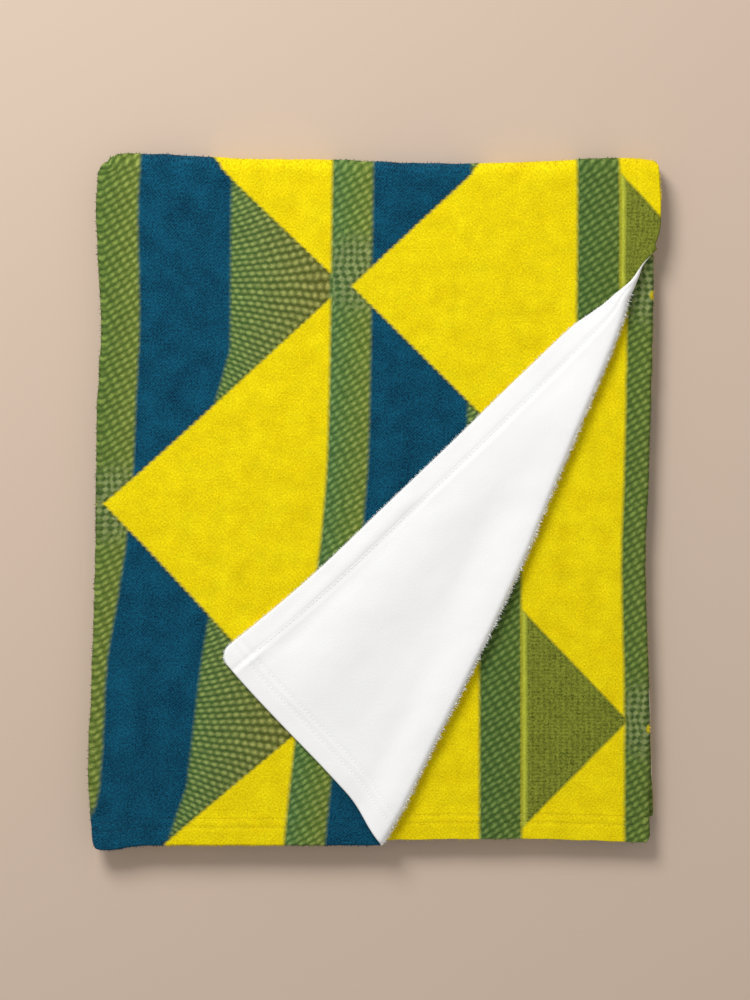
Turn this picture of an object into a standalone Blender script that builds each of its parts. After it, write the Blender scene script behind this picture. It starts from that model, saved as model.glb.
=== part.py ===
"""A printed plush throw blanket, folded into a flat stack with one corner turned back.

The blanket is one hemmed sheet. It is folded in three along its length, like a letter: a base
panel, an inner panel folded over it from the right, and a top panel folded over both from the
left. That strip is then folded in half, with its far half under the near one. The near right
corner of the top panel is turned back over the stack, so that the reverse shows.

+X points right and +Y away from the viewer as the stack lies, +Z is up, and the origin is at
the middle of the box around the blanket, on the surface that it rests on.
"""

import math

import bmesh
import bpy
from mathutils import Vector

# The sheet, in metres
SHEET_LENGTH = 1.500        # folded in three along this side
SHEET_WIDTH = 1.250         # folded in half along this side
CLOTH = 0.0030              # thickness, pile included
GAP = 0.0012                # air between neighbouring layers

# The stack as it lies, before its centre is moved to the origin
LEFT_TURN_X = -0.2525       # axis of the turn that joins the top panel to the base panel
RIGHT_TURN_X = 0.2524       # axis of the turn that joins the base panel to the inner panel
TOP_HEM_X = 0.2640          # free hem of the top panel
NEAR_HEM_Y = -0.3187        # hem of the near half
HALF_FOLD_Y = 0.3060        # axis of the fold in half

# Heights of the middle of each panel above the plane between the two halves
PITCH = CLOTH + GAP
BASE_Z = GAP / 2 + CLOTH / 2
INNER_Z = BASE_Z + PITCH
TOP_Z = INNER_Z + PITCH
HALF_HEIGHT = TOP_Z + CLOTH / 2

# Lengths that follow from the sheet
LEFT_TURN_LENGTH = math.pi * (TOP_Z - BASE_Z) / 2
RIGHT_TURN_LENGTH = math.pi * (INNER_Z - BASE_Z) / 2
TOP_PANEL = TOP_HEM_X - LEFT_TURN_X
BASE_PANEL = RIGHT_TURN_X - LEFT_TURN_X
INNER_PANEL = SHEET_LENGTH - TOP_PANEL - BASE_PANEL - LEFT_TURN_LENGTH - RIGHT_TURN_LENGTH
LEFT_SIDE_X = LEFT_TURN_X - (TOP_Z - BASE_Z) / 2 - CLOTH / 2
RIGHT_SIDE_X = RIGHT_TURN_X + (INNER_Z - BASE_Z) / 2 + CLOTH / 2
FAR_SIDE_Y = HALF_FOLD_Y + HALF_HEIGHT
NEAR_RUN = HALF_FOLD_Y - NEAR_HEM_Y
FAR_RUN = SHEET_WIDTH - NEAR_RUN - math.pi * INNER_Z

# How finely the solid is divided
CORNER_STEPS = (0.0065, 0.0155)     # short steps beside a hem, where its corner is rounded
PANEL_STEPS = 11
NEAR_STEPS = 14
FAR_STEPS = 8
LEFT_TURN_STEPS = 6
RIGHT_TURN_STEPS = 4
HALF_FOLD_STEPS = 8

# The turned-back corner: its fold runs from the near hem to the top panel's free hem
CREASE_START = Vector((0.0065, NEAR_HEM_Y))
CREASE_END = Vector((0.2562, 0.2280))
ROLL_RADIUS = 0.0040        # middle of the cloth, round the fold
ROLL_STEPS = 6
SETTLE_LENGTH = 0.045       # the flap comes down from the roll over this length
SETTLE_CUTS = (0.016, 0.045)
FLAP_CORNER_RADIUS = 0.022
PULL_LENGTH = 0.060         # the hem's pull grows from the fold over this length

# Along the crease: how far the roll stands out from its straight line, and how far the hem
# side of the flap is drawn back towards the roll
CREASE = (
    # share of the crease, stand-out, pull
    (0.00, 0.0000, 0.0060),
    (0.06, 0.0040, 0.0070),
    (0.17, 0.0059, 0.0080),
    (0.34, 0.0097, 0.0104),
    (0.49, 0.0109, 0.0005),
    (0.62, 0.0080, -0.0025),
    (0.77, 0.0048, 0.0017),
    (0.86, 0.0030, 0.0040),
    (0.93, -0.0006, 0.0130),
    (0.97, -0.0012, 0.0140),
    (1.04, 0.0010, 0.0080),
)

# Soft swells of the upper layers, none of them under the stack
SWELLS = (
    # x, y, half-width, height
    (-0.200, 0.200, 0.070, 0.0016),
    (-0.090, 0.060, 0.085, 0.0013),
    (0.080, 0.240, 0.080, 0.0015),
    (-0.190, -0.180, 0.080, 0.0018),
    (0.190, 0.090, 0.060, 0.0012),
    (-0.040, -0.230, 0.070, 0.0010),
)

# A ridge and a trough of the flap, both along its free hem side
FLAP_FOLDS = (
    # start x, start y, end x, end y, half-width, height
    (-0.060, -0.160, 0.150, 0.075, 0.034, 0.0030),
    (0.020, -0.225, 0.120, -0.020, 0.026, -0.0008),
)

# How far each edge of the stack wanders from its straight line, outwards positive
LEFT_EDGE = (
    # y, outwards
    (-0.318, 0.0029),
    (-0.257, 0.0075),
    (-0.174, 0.0047),
    (-0.095, 0.0019),
    (0.020, 0.0000),
    (0.090, -0.0010),
    (0.162, -0.0045),
    (0.230, -0.0015),
    (0.270, 0.0000),
    (0.318, -0.0030),
)
RIGHT_EDGE = (
    # y, outwards
    (-0.318, -0.0007),
    (-0.181, -0.0010),
    (-0.061, -0.0044),
    (0.023, -0.0016),
    (0.110, 0.0012),
    (0.191, 0.0028),
    (0.271, 0.0015),
    (0.318, -0.0008),
)
FOLDED_EDGE = (
    # x, outwards
    (-0.258, 0.0050),
    (-0.215, 0.0053),
    (-0.158, 0.0025),
    (-0.120, 0.0004),
    (-0.039, -0.0003),
    (0.025, -0.0030),
    (0.088, -0.0040),
    (0.153, -0.0021),
    (0.229, 0.0014),
    (0.262, -0.0016),
)
HEM_EDGE = (
    # x, outwards
    (-0.262, -0.0005),
    (-0.243, 0.0046),
    (-0.215, 0.0006),
    (-0.120, 0.0002),
    (0.006, 0.0000),
    (0.120, -0.0012),
    (0.190, 0.0000),
    (0.256, 0.0024),
)

# Where the layers end apart from each other at the near side
HEMS_BACK = (0.0030, 0.0057, 0.0)   # how far the base, inner and top panels' hems lie back
UNDER_SIDE_OUT = 0.0050     # the far half's right side shows this far past the near half's
UNDER_HEM_IN = 0.0072       # the far half of the top panel is tucked in by this much
TUCK_LENGTH = 0.100         # over this length from the fold in half

# Rounded corners of the stack: left or right, near or far side, radius
CORNERS = (
    # x side, y side, radius
    (-1, 1, 0.024),
    (1, 1, 0.008),
    (-1, -1, 0.008),
    (1, -1, 0.008),
)

PRINTED_FACE = (0.055, 0.200, 0.080)    # linear colour, the mean of the print
WHITE_REVERSE = (0.860, 0.850, 0.830)
TINY = 0.00001


def remove_everything():
    """Empty the scene and drop what its objects used."""
    for item in list(bpy.data.objects):
        bpy.data.objects.remove(item, do_unlink=True)
    for mesh in list(bpy.data.meshes):
        bpy.data.meshes.remove(mesh)


def plush(name, colour):
    """A soft, dull fabric of one colour."""
    material = bpy.data.materials.new(name)
    material.use_nodes = True
    shader = material.node_tree.nodes["Principled BSDF"]
    shader.inputs["Base Color"].default_value = (*colour, 1.0)
    shader.inputs["Roughness"].default_value = 0.95
    shader.inputs["Metallic"].default_value = 0.0
    return material


def clamp(value):
    """A value held between 0 and 1."""
    return min(max(value, 0.0), 1.0)


def ease(value):
    """A smooth step from 0 to 1."""
    share = clamp(value)
    return share * share * (3 - 2 * share)


def along(table, place, column=1):
    """Read a column of a table at a place in its first column, on a smooth curve."""
    places = [row[0] for row in table]
    values = [row[column] for row in table]
    if place <= places[0]:
        return values[0]
    if place >= places[-1]:
        return values[-1]
    row = max(i for i, start in enumerate(places) if start <= place)
    before = max(row - 1, 0)
    after = min(row + 2, len(places) - 1)
    span = places[row + 1] - places[row]
    slope_in = (values[row + 1] - values[before]) / (places[row + 1] - places[before])
    slope_out = (values[after] - values[row]) / (places[after] - places[row])
    t = (place - places[row]) / span
    start_part = values[row] * (1 + 2 * t) * (1 - t) ** 2
    end_part = values[row + 1] * t * t * (3 - 2 * t)
    slope_part = span * (slope_in * t * (1 - t) ** 2 - slope_out * t * t * (1 - t))
    return start_part + end_part + slope_part


def new_items(result, kind, key="geom"):
    """The items of one kind that a bmesh operator returned."""
    return [item for item in result[key] if isinstance(item, kind)]


def even_steps(length, count, first=()):
    """Steps along a length: the given short ones first, then equal ones."""
    rest = length - sum(first)
    return list(first) + [rest / count] * count


def sweep_edge(bm, edge, direction, steps):
    """Sweep the cloth's thickness along a panel; returns the last edge."""
    for step in steps:
        result = bmesh.ops.extrude_edge_only(bm, edges=[edge])
        verts = new_items(result, bmesh.types.BMVert)
        bmesh.ops.translate(bm, verts=verts, vec=(direction * step, 0, 0))
        edge = new_items(result, bmesh.types.BMEdge)[0]
    return edge


def turn_edge(bm, edge, x, z, steps):
    """Take the cloth's thickness half round a side fold; returns the last edge."""
    result = bmesh.ops.spin(
        bm,
        geom=[edge],
        cent=(x, NEAR_HEM_Y, z),
        axis=(0, 1, 0),
        angle=-math.pi,
        steps=steps,
        use_duplicate=False,
    )
    return new_items(result, bmesh.types.BMEdge, "geom_last")[0]


def letter_section(bm):
    """The cut across the strip: one band of cloth that runs back and forth three times."""
    reverse_side = bm.verts.layers.int.new("reverse side")
    lower = bm.verts.new((TOP_HEM_X, NEAR_HEM_Y, TOP_Z - CLOTH / 2))
    upper = bm.verts.new((TOP_HEM_X, NEAR_HEM_Y, TOP_Z + CLOTH / 2))
    lower[reverse_side] = 1
    edge = bm.edges.new((lower, upper))
    edge = sweep_edge(bm, edge, -1, even_steps(TOP_PANEL, PANEL_STEPS, CORNER_STEPS))
    edge = turn_edge(bm, edge, LEFT_TURN_X, (TOP_Z + BASE_Z) / 2, LEFT_TURN_STEPS)
    edge = sweep_edge(bm, edge, 1, even_steps(BASE_PANEL, PANEL_STEPS))
    edge = turn_edge(bm, edge, RIGHT_TURN_X, (INNER_Z + BASE_Z) / 2, RIGHT_TURN_STEPS)
    sweep_edge(bm, edge, -1, even_steps(INNER_PANEL, PANEL_STEPS))
    return list(bm.faces)


def with_edges(faces):
    """Faces and their edges, so that an extrusion leaves no wall inside the cloth."""
    return faces + list({edge for face in faces for edge in face.edges})


def extrude_rows(bm, faces, direction, steps):
    """Carry the section along the strip, one row for each step; returns the last faces."""
    for step in steps:
        result = bmesh.ops.extrude_face_region(bm, geom=with_edges(faces))
        verts = new_items(result, bmesh.types.BMVert)
        bmesh.ops.translate(bm, verts=verts, vec=(0, direction * step, 0))
        faces = new_items(result, bmesh.types.BMFace)
    return faces


def folded_strip(bm):
    """The whole blanket, folded in three and then in half, still straight and even."""
    faces = letter_section(bm)
    faces = extrude_rows(bm, faces, 1, even_steps(NEAR_RUN, NEAR_STEPS, CORNER_STEPS))
    result = bmesh.ops.spin(
        bm,
        geom=with_edges(faces),
        cent=(0, HALF_FOLD_Y, 0),
        axis=(1, 0, 0),
        angle=-math.pi,
        steps=HALF_FOLD_STEPS,
        use_duplicate=False,
    )
    faces = new_items(result, bmesh.types.BMFace, "geom_last")
    extrude_rows(bm, faces, -1, even_steps(FAR_RUN, FAR_STEPS))
    reverse_side = bm.verts.layers.int["reverse side"]
    for face in bm.faces:
        face.material_index = min(vert[reverse_side] for vert in face.verts)
    bm.verts.layers.int.remove(reverse_side)


def on_top_panel(vert):
    """Whether a point of the straight strip is on the near half's top panel."""
    point = vert.co
    high = point.z > TOP_Z - CLOTH / 2 - TINY
    return high and point.x > LEFT_TURN_X - TINY and point.y < HALF_FOLD_Y + TINY


def rounded(x, y, x_side, y_side, radius, edge_x, edge_y):
    """Draw a point in a square corner into a round one."""
    dx = (x - edge_x) * x_side + radius
    dy = (y - edge_y) * y_side + radius
    if dx <= 0 or dy <= 0:
        return x, y
    shrink = max(dx, dy) / math.hypot(dx, dy)
    return x - x_side * dx * (1 - shrink), y - y_side * dy * (1 - shrink)


def crease_frame():
    """The crease's direction, the direction across it towards the corner, and its length."""
    run = CREASE_END - CREASE_START
    length = run.length
    direction = run / length
    return direction, Vector((direction.y, -direction.x)), length


def crease_offset(share):
    """Where the cloth leaves the stack to roll over, measured from the straight crease."""
    return along(CREASE, share, 1) - ROLL_RADIUS - CLOTH / 2


def to_crease(point, straighten):
    """Shift a point across the crease so that the curved crease becomes straight, or back."""
    direction, across, length = crease_frame()
    share = (Vector(point[:2]) - CREASE_START).dot(direction) / length
    shift = across * crease_offset(share) * (-1 if straighten else 1)
    return Vector((point.x + shift.x, point.y + shift.y, point.z))


def turned_back(point):
    """Roll a point of the flat top panel over the crease, if it lies beyond it."""
    direction, across, length = crease_frame()
    offset = Vector(point[:2]) - CREASE_START
    run = offset.dot(direction)
    share = run / length
    beyond = offset.dot(across)
    start = crease_offset(share)
    if beyond <= 0:
        return to_crease(point, False)
    normal = point.z - TOP_Z
    roll = math.pi * ROLL_RADIUS
    if beyond < roll:
        angle = beyond / ROLL_RADIUS
        radius = ROLL_RADIUS - normal
        place = start + radius * math.sin(angle)
        height = ROLL_RADIUS - radius * math.cos(angle)
    else:
        past = beyond - roll
        pull = along(CREASE, share, 2) * ease(past / PULL_LENGTH)
        place = start - past + pull
        settled = ease(past / SETTLE_LENGTH)
        height = 2 * ROLL_RADIUS * (1 - settled) + PITCH * settled - normal
    flat = CREASE_START + direction * run + across * place
    height += flap_relief(flat) * ease((beyond - roll) / SETTLE_LENGTH)
    return Vector((flat.x, flat.y, TOP_Z + height))


def flap_relief(place):
    """Height of the flap's own ridge and trough at a place."""
    height = 0.0
    for start_x, start_y, end_x, end_y, half_width, rise in FLAP_FOLDS:
        start = Vector((start_x, start_y))
        run = Vector((end_x, end_y)) - start
        share = clamp((place - start).dot(run) / run.length_squared)
        distance = (place - start - run * share).length
        height += rise * math.exp(-((distance / half_width) ** 2))
    return max(height, 0.0)


def turn_corner(bm):
    """Round the top panel's free corner, cut its faces along the roll and turn it back."""
    verts = [vert for vert in bm.verts if on_top_panel(vert)]
    for vert in verts:
        x, y = rounded(
            vert.co.x, vert.co.y, 1, -1, FLAP_CORNER_RADIUS, TOP_HEM_X, NEAR_HEM_Y
        )
        vert.co = to_crease(Vector((x, y, vert.co.z)), True)
    inside = set(verts)
    faces = [face for face in bm.faces if inside.issuperset(face.verts)]
    roll = math.pi * ROLL_RADIUS
    cuts = [roll * i / ROLL_STEPS for i in range(ROLL_STEPS + 1)]
    cuts += [roll + cut for cut in SETTLE_CUTS]
    _direction, across, _length = crease_frame()
    for cut in cuts:
        edges = {edge for face in faces for edge in face.edges}
        place = CREASE_START + across * cut
        result = bmesh.ops.bisect_plane(
            bm,
            geom=list(inside) + list(edges) + faces,
            dist=0.0003,
            plane_co=(*place, 0),
            plane_no=(*across, 0),
        )
        inside.update(new_items(result, bmesh.types.BMVert, "geom_cut"))
        faces = [face for face in bm.faces if inside.issuperset(face.verts)]
    bmesh.ops.triangulate(bm, faces=faces, quad_method="BEAUTY", ngon_method="BEAUTY")
    for vert in inside:
        vert.co = turned_back(vert.co)


def edge_weight(place, edge):
    """How strongly a place follows an edge: 0 at the middle of the stack, 1 at the edge."""
    return clamp(place / edge) ** 3


def panel_of(point):
    """Which panel a point is on: 0 for the base, 1 for the inner and 2 for the top one."""
    from_middle = math.hypot(max(point.y - HALF_FOLD_Y, 0), point.z)
    return min(int((from_middle - GAP / 2) / PITCH), 2)


def wander(point):
    """Where the stack's uneven edges and rounded corners take a point, seen from above."""
    x, y = point.x, point.y
    panel = panel_of(point)
    side_x = TOP_HEM_X if panel == 2 else RIGHT_SIDE_X
    to_hem = edge_weight(y, NEAR_HEM_Y)
    to_right = edge_weight(x, RIGHT_SIDE_X)
    dx = along(RIGHT_EDGE, y) * to_right - along(LEFT_EDGE, y) * edge_weight(x, LEFT_SIDE_X)
    dy = along(FOLDED_EDGE, x) * edge_weight(y, FAR_SIDE_Y)
    if point.z > 0:
        dy += (HEMS_BACK[panel] - along(HEM_EDGE, x)) * to_hem
    else:
        dx += UNDER_SIDE_OUT * to_right * to_hem
        if panel == 2:
            dx -= UNDER_HEM_IN * to_right * ease((HALF_FOLD_Y - y) / TUCK_LENGTH)
    for x_side, y_side, radius in CORNERS:
        edge_x = side_x if x_side > 0 else LEFT_SIDE_X
        edge_y = FAR_SIDE_Y if y_side > 0 else NEAR_HEM_Y
        x, y = rounded(x, y, x_side, y_side, radius, edge_x, edge_y)
    return x + dx, y + dy


def swell(x, y):
    """Height of the soft swells at a place."""
    height = 0.0
    for centre_x, centre_y, half_width, rise in SWELLS:
        distance = math.hypot(x - centre_x, y - centre_y)
        height += rise * math.exp(-((distance / half_width) ** 2))
    return height


def make_uneven(bm):
    """Give the straight stack its wandering edges, round corners and soft swells."""
    for vert in bm.verts:
        point = vert.co
        lift = swell(point.x, point.y) * clamp(point.z / HALF_HEIGHT)
        x, y = wander(point)
        vert.co = Vector((x, y, point.z + lift))


def stand_at_origin(bm):
    """Put the middle of the box around the blanket over the origin, and its underside at 0."""
    lows = [min(vert.co[axis] for vert in bm.verts) for axis in range(3)]
    highs = [max(vert.co[axis] for vert in bm.verts) for axis in range(3)]
    middle_x = (lows[0] + highs[0]) / 2
    middle_y = (lows[1] + highs[1]) / 2
    bmesh.ops.translate(bm, verts=bm.verts, vec=(-middle_x, -middle_y, -lows[2]))


def make_blanket():
    """The blanket, as one solid."""
    bm = bmesh.new()
    folded_strip(bm)
    turn_corner(bm)
    make_uneven(bm)
    stand_at_origin(bm)
    bmesh.ops.recalc_face_normals(bm, faces=bm.faces)
    mesh = bpy.data.meshes.new("blanket")
    bm.to_mesh(mesh)
    bm.free()
    mesh.materials.append(plush("printed plush", PRINTED_FACE))
    mesh.materials.append(plush("white plush", WHITE_REVERSE))
    blanket = bpy.data.objects.new("blanket", mesh)
    bpy.context.scene.collection.objects.link(blanket)
    mesh.shade_smooth()
    mesh.set_sharp_from_angle(angle=math.radians(50))
    return blanket


remove_everything()
make_blanket()
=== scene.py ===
"""A printed plush throw, folded into a flat stack with one corner turned back: its looks.

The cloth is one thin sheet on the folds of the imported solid. It is laid out flat with its hems,
folded in three and then in half, and its near right corner is rolled back. The print is drawn on
the flat sheet, so it follows every fold. Lengths are in metres.
"""

import math

import bmesh
import bpy
import numpy as np
from mathutils import Matrix, Vector, noise


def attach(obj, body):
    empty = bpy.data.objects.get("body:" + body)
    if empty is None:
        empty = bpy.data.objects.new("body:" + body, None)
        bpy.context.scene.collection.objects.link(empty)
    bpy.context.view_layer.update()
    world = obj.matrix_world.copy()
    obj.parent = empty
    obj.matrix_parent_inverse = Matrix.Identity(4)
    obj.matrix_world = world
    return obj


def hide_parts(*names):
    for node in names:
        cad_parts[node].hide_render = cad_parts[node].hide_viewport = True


bl_info = {
    "name": "Folded plush throw",
    "version": (1, 0, 0),
    "blender": (4, 5, 0),
    "location": "3D View > Sidebar > Throw",
    "description": "A printed plush throw with one corner turned back, on a pale floor",
    "category": "Object",
}

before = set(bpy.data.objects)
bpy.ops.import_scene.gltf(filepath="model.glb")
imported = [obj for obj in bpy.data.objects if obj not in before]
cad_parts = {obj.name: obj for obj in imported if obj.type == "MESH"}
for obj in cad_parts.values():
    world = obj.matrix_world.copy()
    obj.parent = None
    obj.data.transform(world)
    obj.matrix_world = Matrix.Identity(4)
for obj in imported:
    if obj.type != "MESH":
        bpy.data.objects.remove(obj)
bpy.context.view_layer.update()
BODY = "root"
CAD_NODE = "blanket"

# The sheet
SHEET_LENGTH = 1.500        # folded in three along this side
SHEET_WIDTH = 1.250         # folded in half along this side
CLOTH = 0.0030              # thickness, pile included
GAP = 0.0012                # air between neighbouring layers

# The stack as it lies, before its centre is moved to the origin
LEFT_TURN_X = -0.2525
RIGHT_TURN_X = 0.2524
TOP_HEM_X = 0.2640
NEAR_HEM_Y = -0.3187
HALF_FOLD_Y = 0.3060

# Heights of the middle of each panel above the plane between the two halves
PITCH = CLOTH + GAP
BASE_Z = GAP / 2 + CLOTH / 2
INNER_Z = BASE_Z + PITCH
TOP_Z = INNER_Z + PITCH
HALF_HEIGHT = TOP_Z + CLOTH / 2
LEFT_TURN_RADIUS = (TOP_Z - BASE_Z) / 2
RIGHT_TURN_RADIUS = (INNER_Z - BASE_Z) / 2
LEFT_SIDE_X = LEFT_TURN_X - LEFT_TURN_RADIUS - CLOTH / 2
RIGHT_SIDE_X = RIGHT_TURN_X + RIGHT_TURN_RADIUS + CLOTH / 2
FAR_SIDE_Y = HALF_FOLD_Y + HALF_HEIGHT

# Where each part of the letter fold starts, measured along the sheet from the top panel's hem
LEFT_TURN_START = TOP_HEM_X - LEFT_TURN_X
BASE_START = LEFT_TURN_START + math.pi * LEFT_TURN_RADIUS
RIGHT_TURN_START = BASE_START + RIGHT_TURN_X - LEFT_TURN_X
INNER_START = RIGHT_TURN_START + math.pi * RIGHT_TURN_RADIUS
HALF_FOLD_START = HALF_FOLD_Y - NEAR_HEM_Y
FAR_START = HALF_FOLD_START + math.pi * INNER_Z

# Hems: how wide each is, and the distance of its rows of stitches from the edge
HEM_WIDTH = 0.025
SIDE_HEM_ROWS = (0.0200,)
NEAR_HEM_ROWS = (0.0160, 0.0240)
HEM_RISE = 0.0004           # a hem is this much thicker than the plain cloth, on each side
GROOVE_DEPTH = 0.0005
GROOVE_WIDTH = 0.0013
REVERSE_GROOVE_WIDTH = 0.0026
SEAM_RIDGE = 0.0005         # the soft ridge of the turned-in edge, beside the stitches
SEAM_RIDGE_WIDTH = 0.0030
EDGE_ROUND = 0.0016         # the sheet's edge is rounded over this length
EDGE_LEFT = 0.18            # share of the thickness that is left at the very edge
HEM_FALL = 0.004            # a hem falls to the plain cloth over this length
FACE_RIDGE = 0.3            # how much of the ridge shows on the face and on the reverse
REVERSE_RIDGE = 0.55
INNER_HEM_END = 1.290       # along the inner panel's hem, no stitches or tufts past this

# How finely the sheet is divided
SHEET_COLUMNS = (
    # from, to, step
    (0.0000, 0.0016, 0.0004),
    (0.0016, 0.0160, 0.0036),
    (0.0160, 0.0270, 0.0011),
    (0.0270, LEFT_TURN_START, 0.0050),
    (LEFT_TURN_START, BASE_START, 0.0011),
    (BASE_START, RIGHT_TURN_START, 0.0210),
    (RIGHT_TURN_START, INNER_START, 0.0009),
    (INNER_START, 1.300, 0.0052),
    (1.300, 1.4984, 0.0200),
    (1.4984, SHEET_LENGTH, 0.0008),
)
SHEET_ROWS = (
    # from, to, step
    (0.0000, 0.0016, 0.0004),
    (0.0016, 0.0124, 0.0027),
    (0.0124, 0.0280, 0.0012),
    (0.0280, HALF_FOLD_START, 0.0052),
    (HALF_FOLD_START, FAR_START, 0.0024),
    (FAR_START, 1.2484, 0.0200),
    (1.2484, SHEET_WIDTH, 0.0008),
)

# The turned-back corner: its fold runs from the near hem to the top panel's free hem
CREASE_START = np.array((0.0065, NEAR_HEM_Y))
CREASE_END = np.array((0.2562, 0.2280))
ROLL_RADIUS = 0.0040
ROLL_STEPS = 10
ROLL_REACH = 0.012          # the sheet is cut finely this far past the roll on each side
CUT_SNAP = 0.0002           # a cut takes corners that are this near
SETTLE_LENGTH = 0.045
FLAP_CORNER = (1, -1, 0.014, TOP_HEM_X, NEAR_HEM_Y)     # x side, y side, radius, edge x, edge y
PULL_LENGTH = 0.060
CREASE = (
    # share of the crease, stand-out, pull, squeeze
    (0.00, 0.0000, 0.0120, 0.00),
    (0.06, 0.0040, 0.0105, 0.00),
    (0.17, 0.0059, 0.0100, 0.00),
    (0.34, 0.0097, 0.0048, 0.00),
    (0.49, 0.0109, -0.0015, 0.00),
    (0.62, 0.0080, 0.0008, 0.00),
    (0.77, 0.0043, 0.0027, 0.00),
    (0.85, 0.0018, 0.0040, 0.05),
    (0.88, 0.0002, 0.0055, 0.21),
    (0.90, -0.0014, 0.0070, 0.38),
    (0.92, -0.0036, 0.0080, 0.58),
    (0.95, -0.0022, 0.0080, 0.82),
    (0.975, 0.0018, 0.0060, 0.86),
    (1.005, 0.0070, 0.0040, 0.86),
    (1.04, 0.0110, 0.0020, 0.86),
)
SHEAR = 0.0085              # the flap's far corner slides this far along the crease
SHEAR_START = 0.030         # past the roll
SHEAR_END = 0.200
TIP_Y = 0.2220              # the top panel's hem is drawn in beside the flap's far tip
TIP_PULL = 0.0112
TIP_LENGTH = 0.021
TIP_FROM_X = 0.225
THIN_FROM = 0.93            # share of the crease where the roll starts to thin to the tip
THIN_TO = 0.99
THINNED = 0.80              # share of the roll's width that goes at the tip, and of its height
LOWERED = 0.6

# Soft swells of the upper layers, and the flap's own ridges and troughs
SWELLS = (
    # x, y, half-width, height
    (-0.200, 0.200, 0.070, 0.0016),
    (-0.090, 0.060, 0.085, 0.0013),
    (0.080, 0.240, 0.080, 0.0015),
    (-0.190, -0.180, 0.080, 0.0018),
    (0.190, 0.090, 0.060, 0.0012),
    (-0.040, -0.230, 0.070, 0.0010),
)
FLAP_FOLDS = (
    # start x, start y, end x, end y, half-width, height
    (-0.060, -0.160, 0.150, 0.075, 0.034, 0.0030),
    (0.020, -0.225, 0.120, -0.020, 0.026, -0.0008),
    (-0.095, -0.128, 0.030, 0.000, 0.006, 0.0007),
    (-0.080, -0.134, 0.045, -0.003, 0.006, -0.0006),
    (-0.118, -0.151, -0.104, -0.138, 0.0030, 0.0005),
    (-0.106, -0.152, -0.096, -0.143, 0.0030, -0.0004),
)

# How far each edge of the stack wanders from its straight line, outwards positive
LEFT_EDGE = (
    # y, outwards
    (-0.318, 0.0029),
    (-0.257, 0.0075),
    (-0.174, 0.0047),
    (-0.095, 0.0019),
    (0.020, 0.0000),
    (0.090, -0.0010),
    (0.162, -0.0045),
    (0.230, -0.0015),
    (0.270, 0.0000),
    (0.318, -0.0030),
)
RIGHT_EDGE = (
    # y, outwards
    (-0.318, -0.0007),
    (-0.181, -0.0010),
    (-0.061, -0.0044),
    (0.023, -0.0016),
    (0.110, 0.0012),
    (0.191, 0.0028),
    (0.271, 0.0015),
    (0.318, -0.0008),
)
FOLDED_EDGE = (
    # x, outwards
    (-0.258, 0.0050),
    (-0.215, 0.0053),
    (-0.158, 0.0025),
    (-0.120, 0.0004),
    (-0.039, -0.0003),
    (0.025, -0.0030),
    (0.088, -0.0040),
    (0.153, -0.0021),
    (0.229, 0.0014),
    (0.262, -0.0016),
)
HEM_EDGE = (
    # x, outwards
    (-0.262, 0.0030),
    (-0.243, 0.0046),
    (-0.215, 0.0006),
    (-0.120, 0.0002),
    (0.006, 0.0000),
    (0.120, -0.0012),
    (0.190, 0.0000),
    (0.256, 0.0024),
)
HEMS_BACK = (
    # height of the panel, how far its hem lies back
    (BASE_Z, 0.0078),
    (INNER_Z, 0.0057),
    (TOP_Z, 0.0000),
)
UNDER_SIDE_OUT = 0.0050
UNDER_HEM_IN = 0.0072
UNDER_HEM_BACK = 0.0075
TUCK_LENGTH = 0.100
CORNERS = (
    # x side, y side, radius
    (-1, 1, 0.022),
    (1, 1, 0.005),
    (-1, -1, 0.003),
    (1, -1, 0.005),
)

# Small lumps of the plush
LUMPS = (
    # size, height
    (0.060, 0.0007),
    (0.022, 0.00035),
    (0.009, 0.00012),
)
EDGE_LUMP_SIZE = 0.017      # the stack's sides wave in and out at about this spacing
EDGE_LUMP = 0.0007
LUMP_STRETCH = 1.5          # seen from the side, they are wider than high by this much

# The print, on the flat sheet. One repeat across starts just inside band B
REPEAT_ACROSS = 0.5790
REPEAT_DOWN = 0.4033
REPEAT_START = -0.0367
BAND_B_START = 0.5401       # at the repeat's far end
PRINT_MIDDLE = 0.5180       # height of a row of diamond corners above the near hem
BAND_B_END = -0.0009
TEAL_1_END = 0.0897
BAND_C_START = 0.1878
BAND_C_END = 0.2275
OLIVE_START = 0.2318
OLIVE_WIDTH = 0.0944
OLIVE_HALF = 0.0990
BAND_D_START = 0.3230
BAND_D_END = 0.3610
TEAL_2_END = 0.4470
TOE_START = 0.0600          # this far below its tip, a hatched triangle gets a toe
TOE_SLOPE = 0.26
ZIGZAG_1_TIP = 0.5525
ZIGZAG_1_SLOPE = 1.0720
ZIGZAG_2_TIP = -0.0194
ZIGZAG_2_SLOPE = 1.026
EDGE_STEP = 0.0047          # the diamonds' edges go in steps of this height
STEP_SHARE = 0.35           # how sharply they step: 0 straight, 1 square
PRINT_BLUR = 0.0042         # width over which one colour turns into the next
RAGGED = 0.0006             # how far the pile carries the ink aside
HATCH_SPACING = 0.0066      # lines of the bands
HATCH_SLOPE = 54 * HATCH_SPACING / REPEAT_ACROSS    # whole lines, so that repeats join up
FAN_SPACING = 0.0112        # lines of the hatched triangles, at the tip of each
FAN_SPREAD = 12.0
DASH_LENGTH = REPEAT_ACROSS / 80
TWILL = 0.0031
WAFFLE = 0.0041
OLIVE_WARP = 0.0052
OLIVE_WEFT = 0.0034
RIM = 0.0026                # row of dark dots along the diamonds' edges
CROSSING_WIDTH = 0.0300     # half-width of the speckled places where bands and diamonds meet
CROSSING_HEIGHT = 0.0360
CROSSING_UP = 0.0120
CROSSING_1 = -0.0150
CROSSING_2 = 0.3450
DOT_SPACING = 0.0130
SPOT_X = 0.3480             # small yellow spot on band D of the inner panel
SPOT_Y = -0.0080
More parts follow.
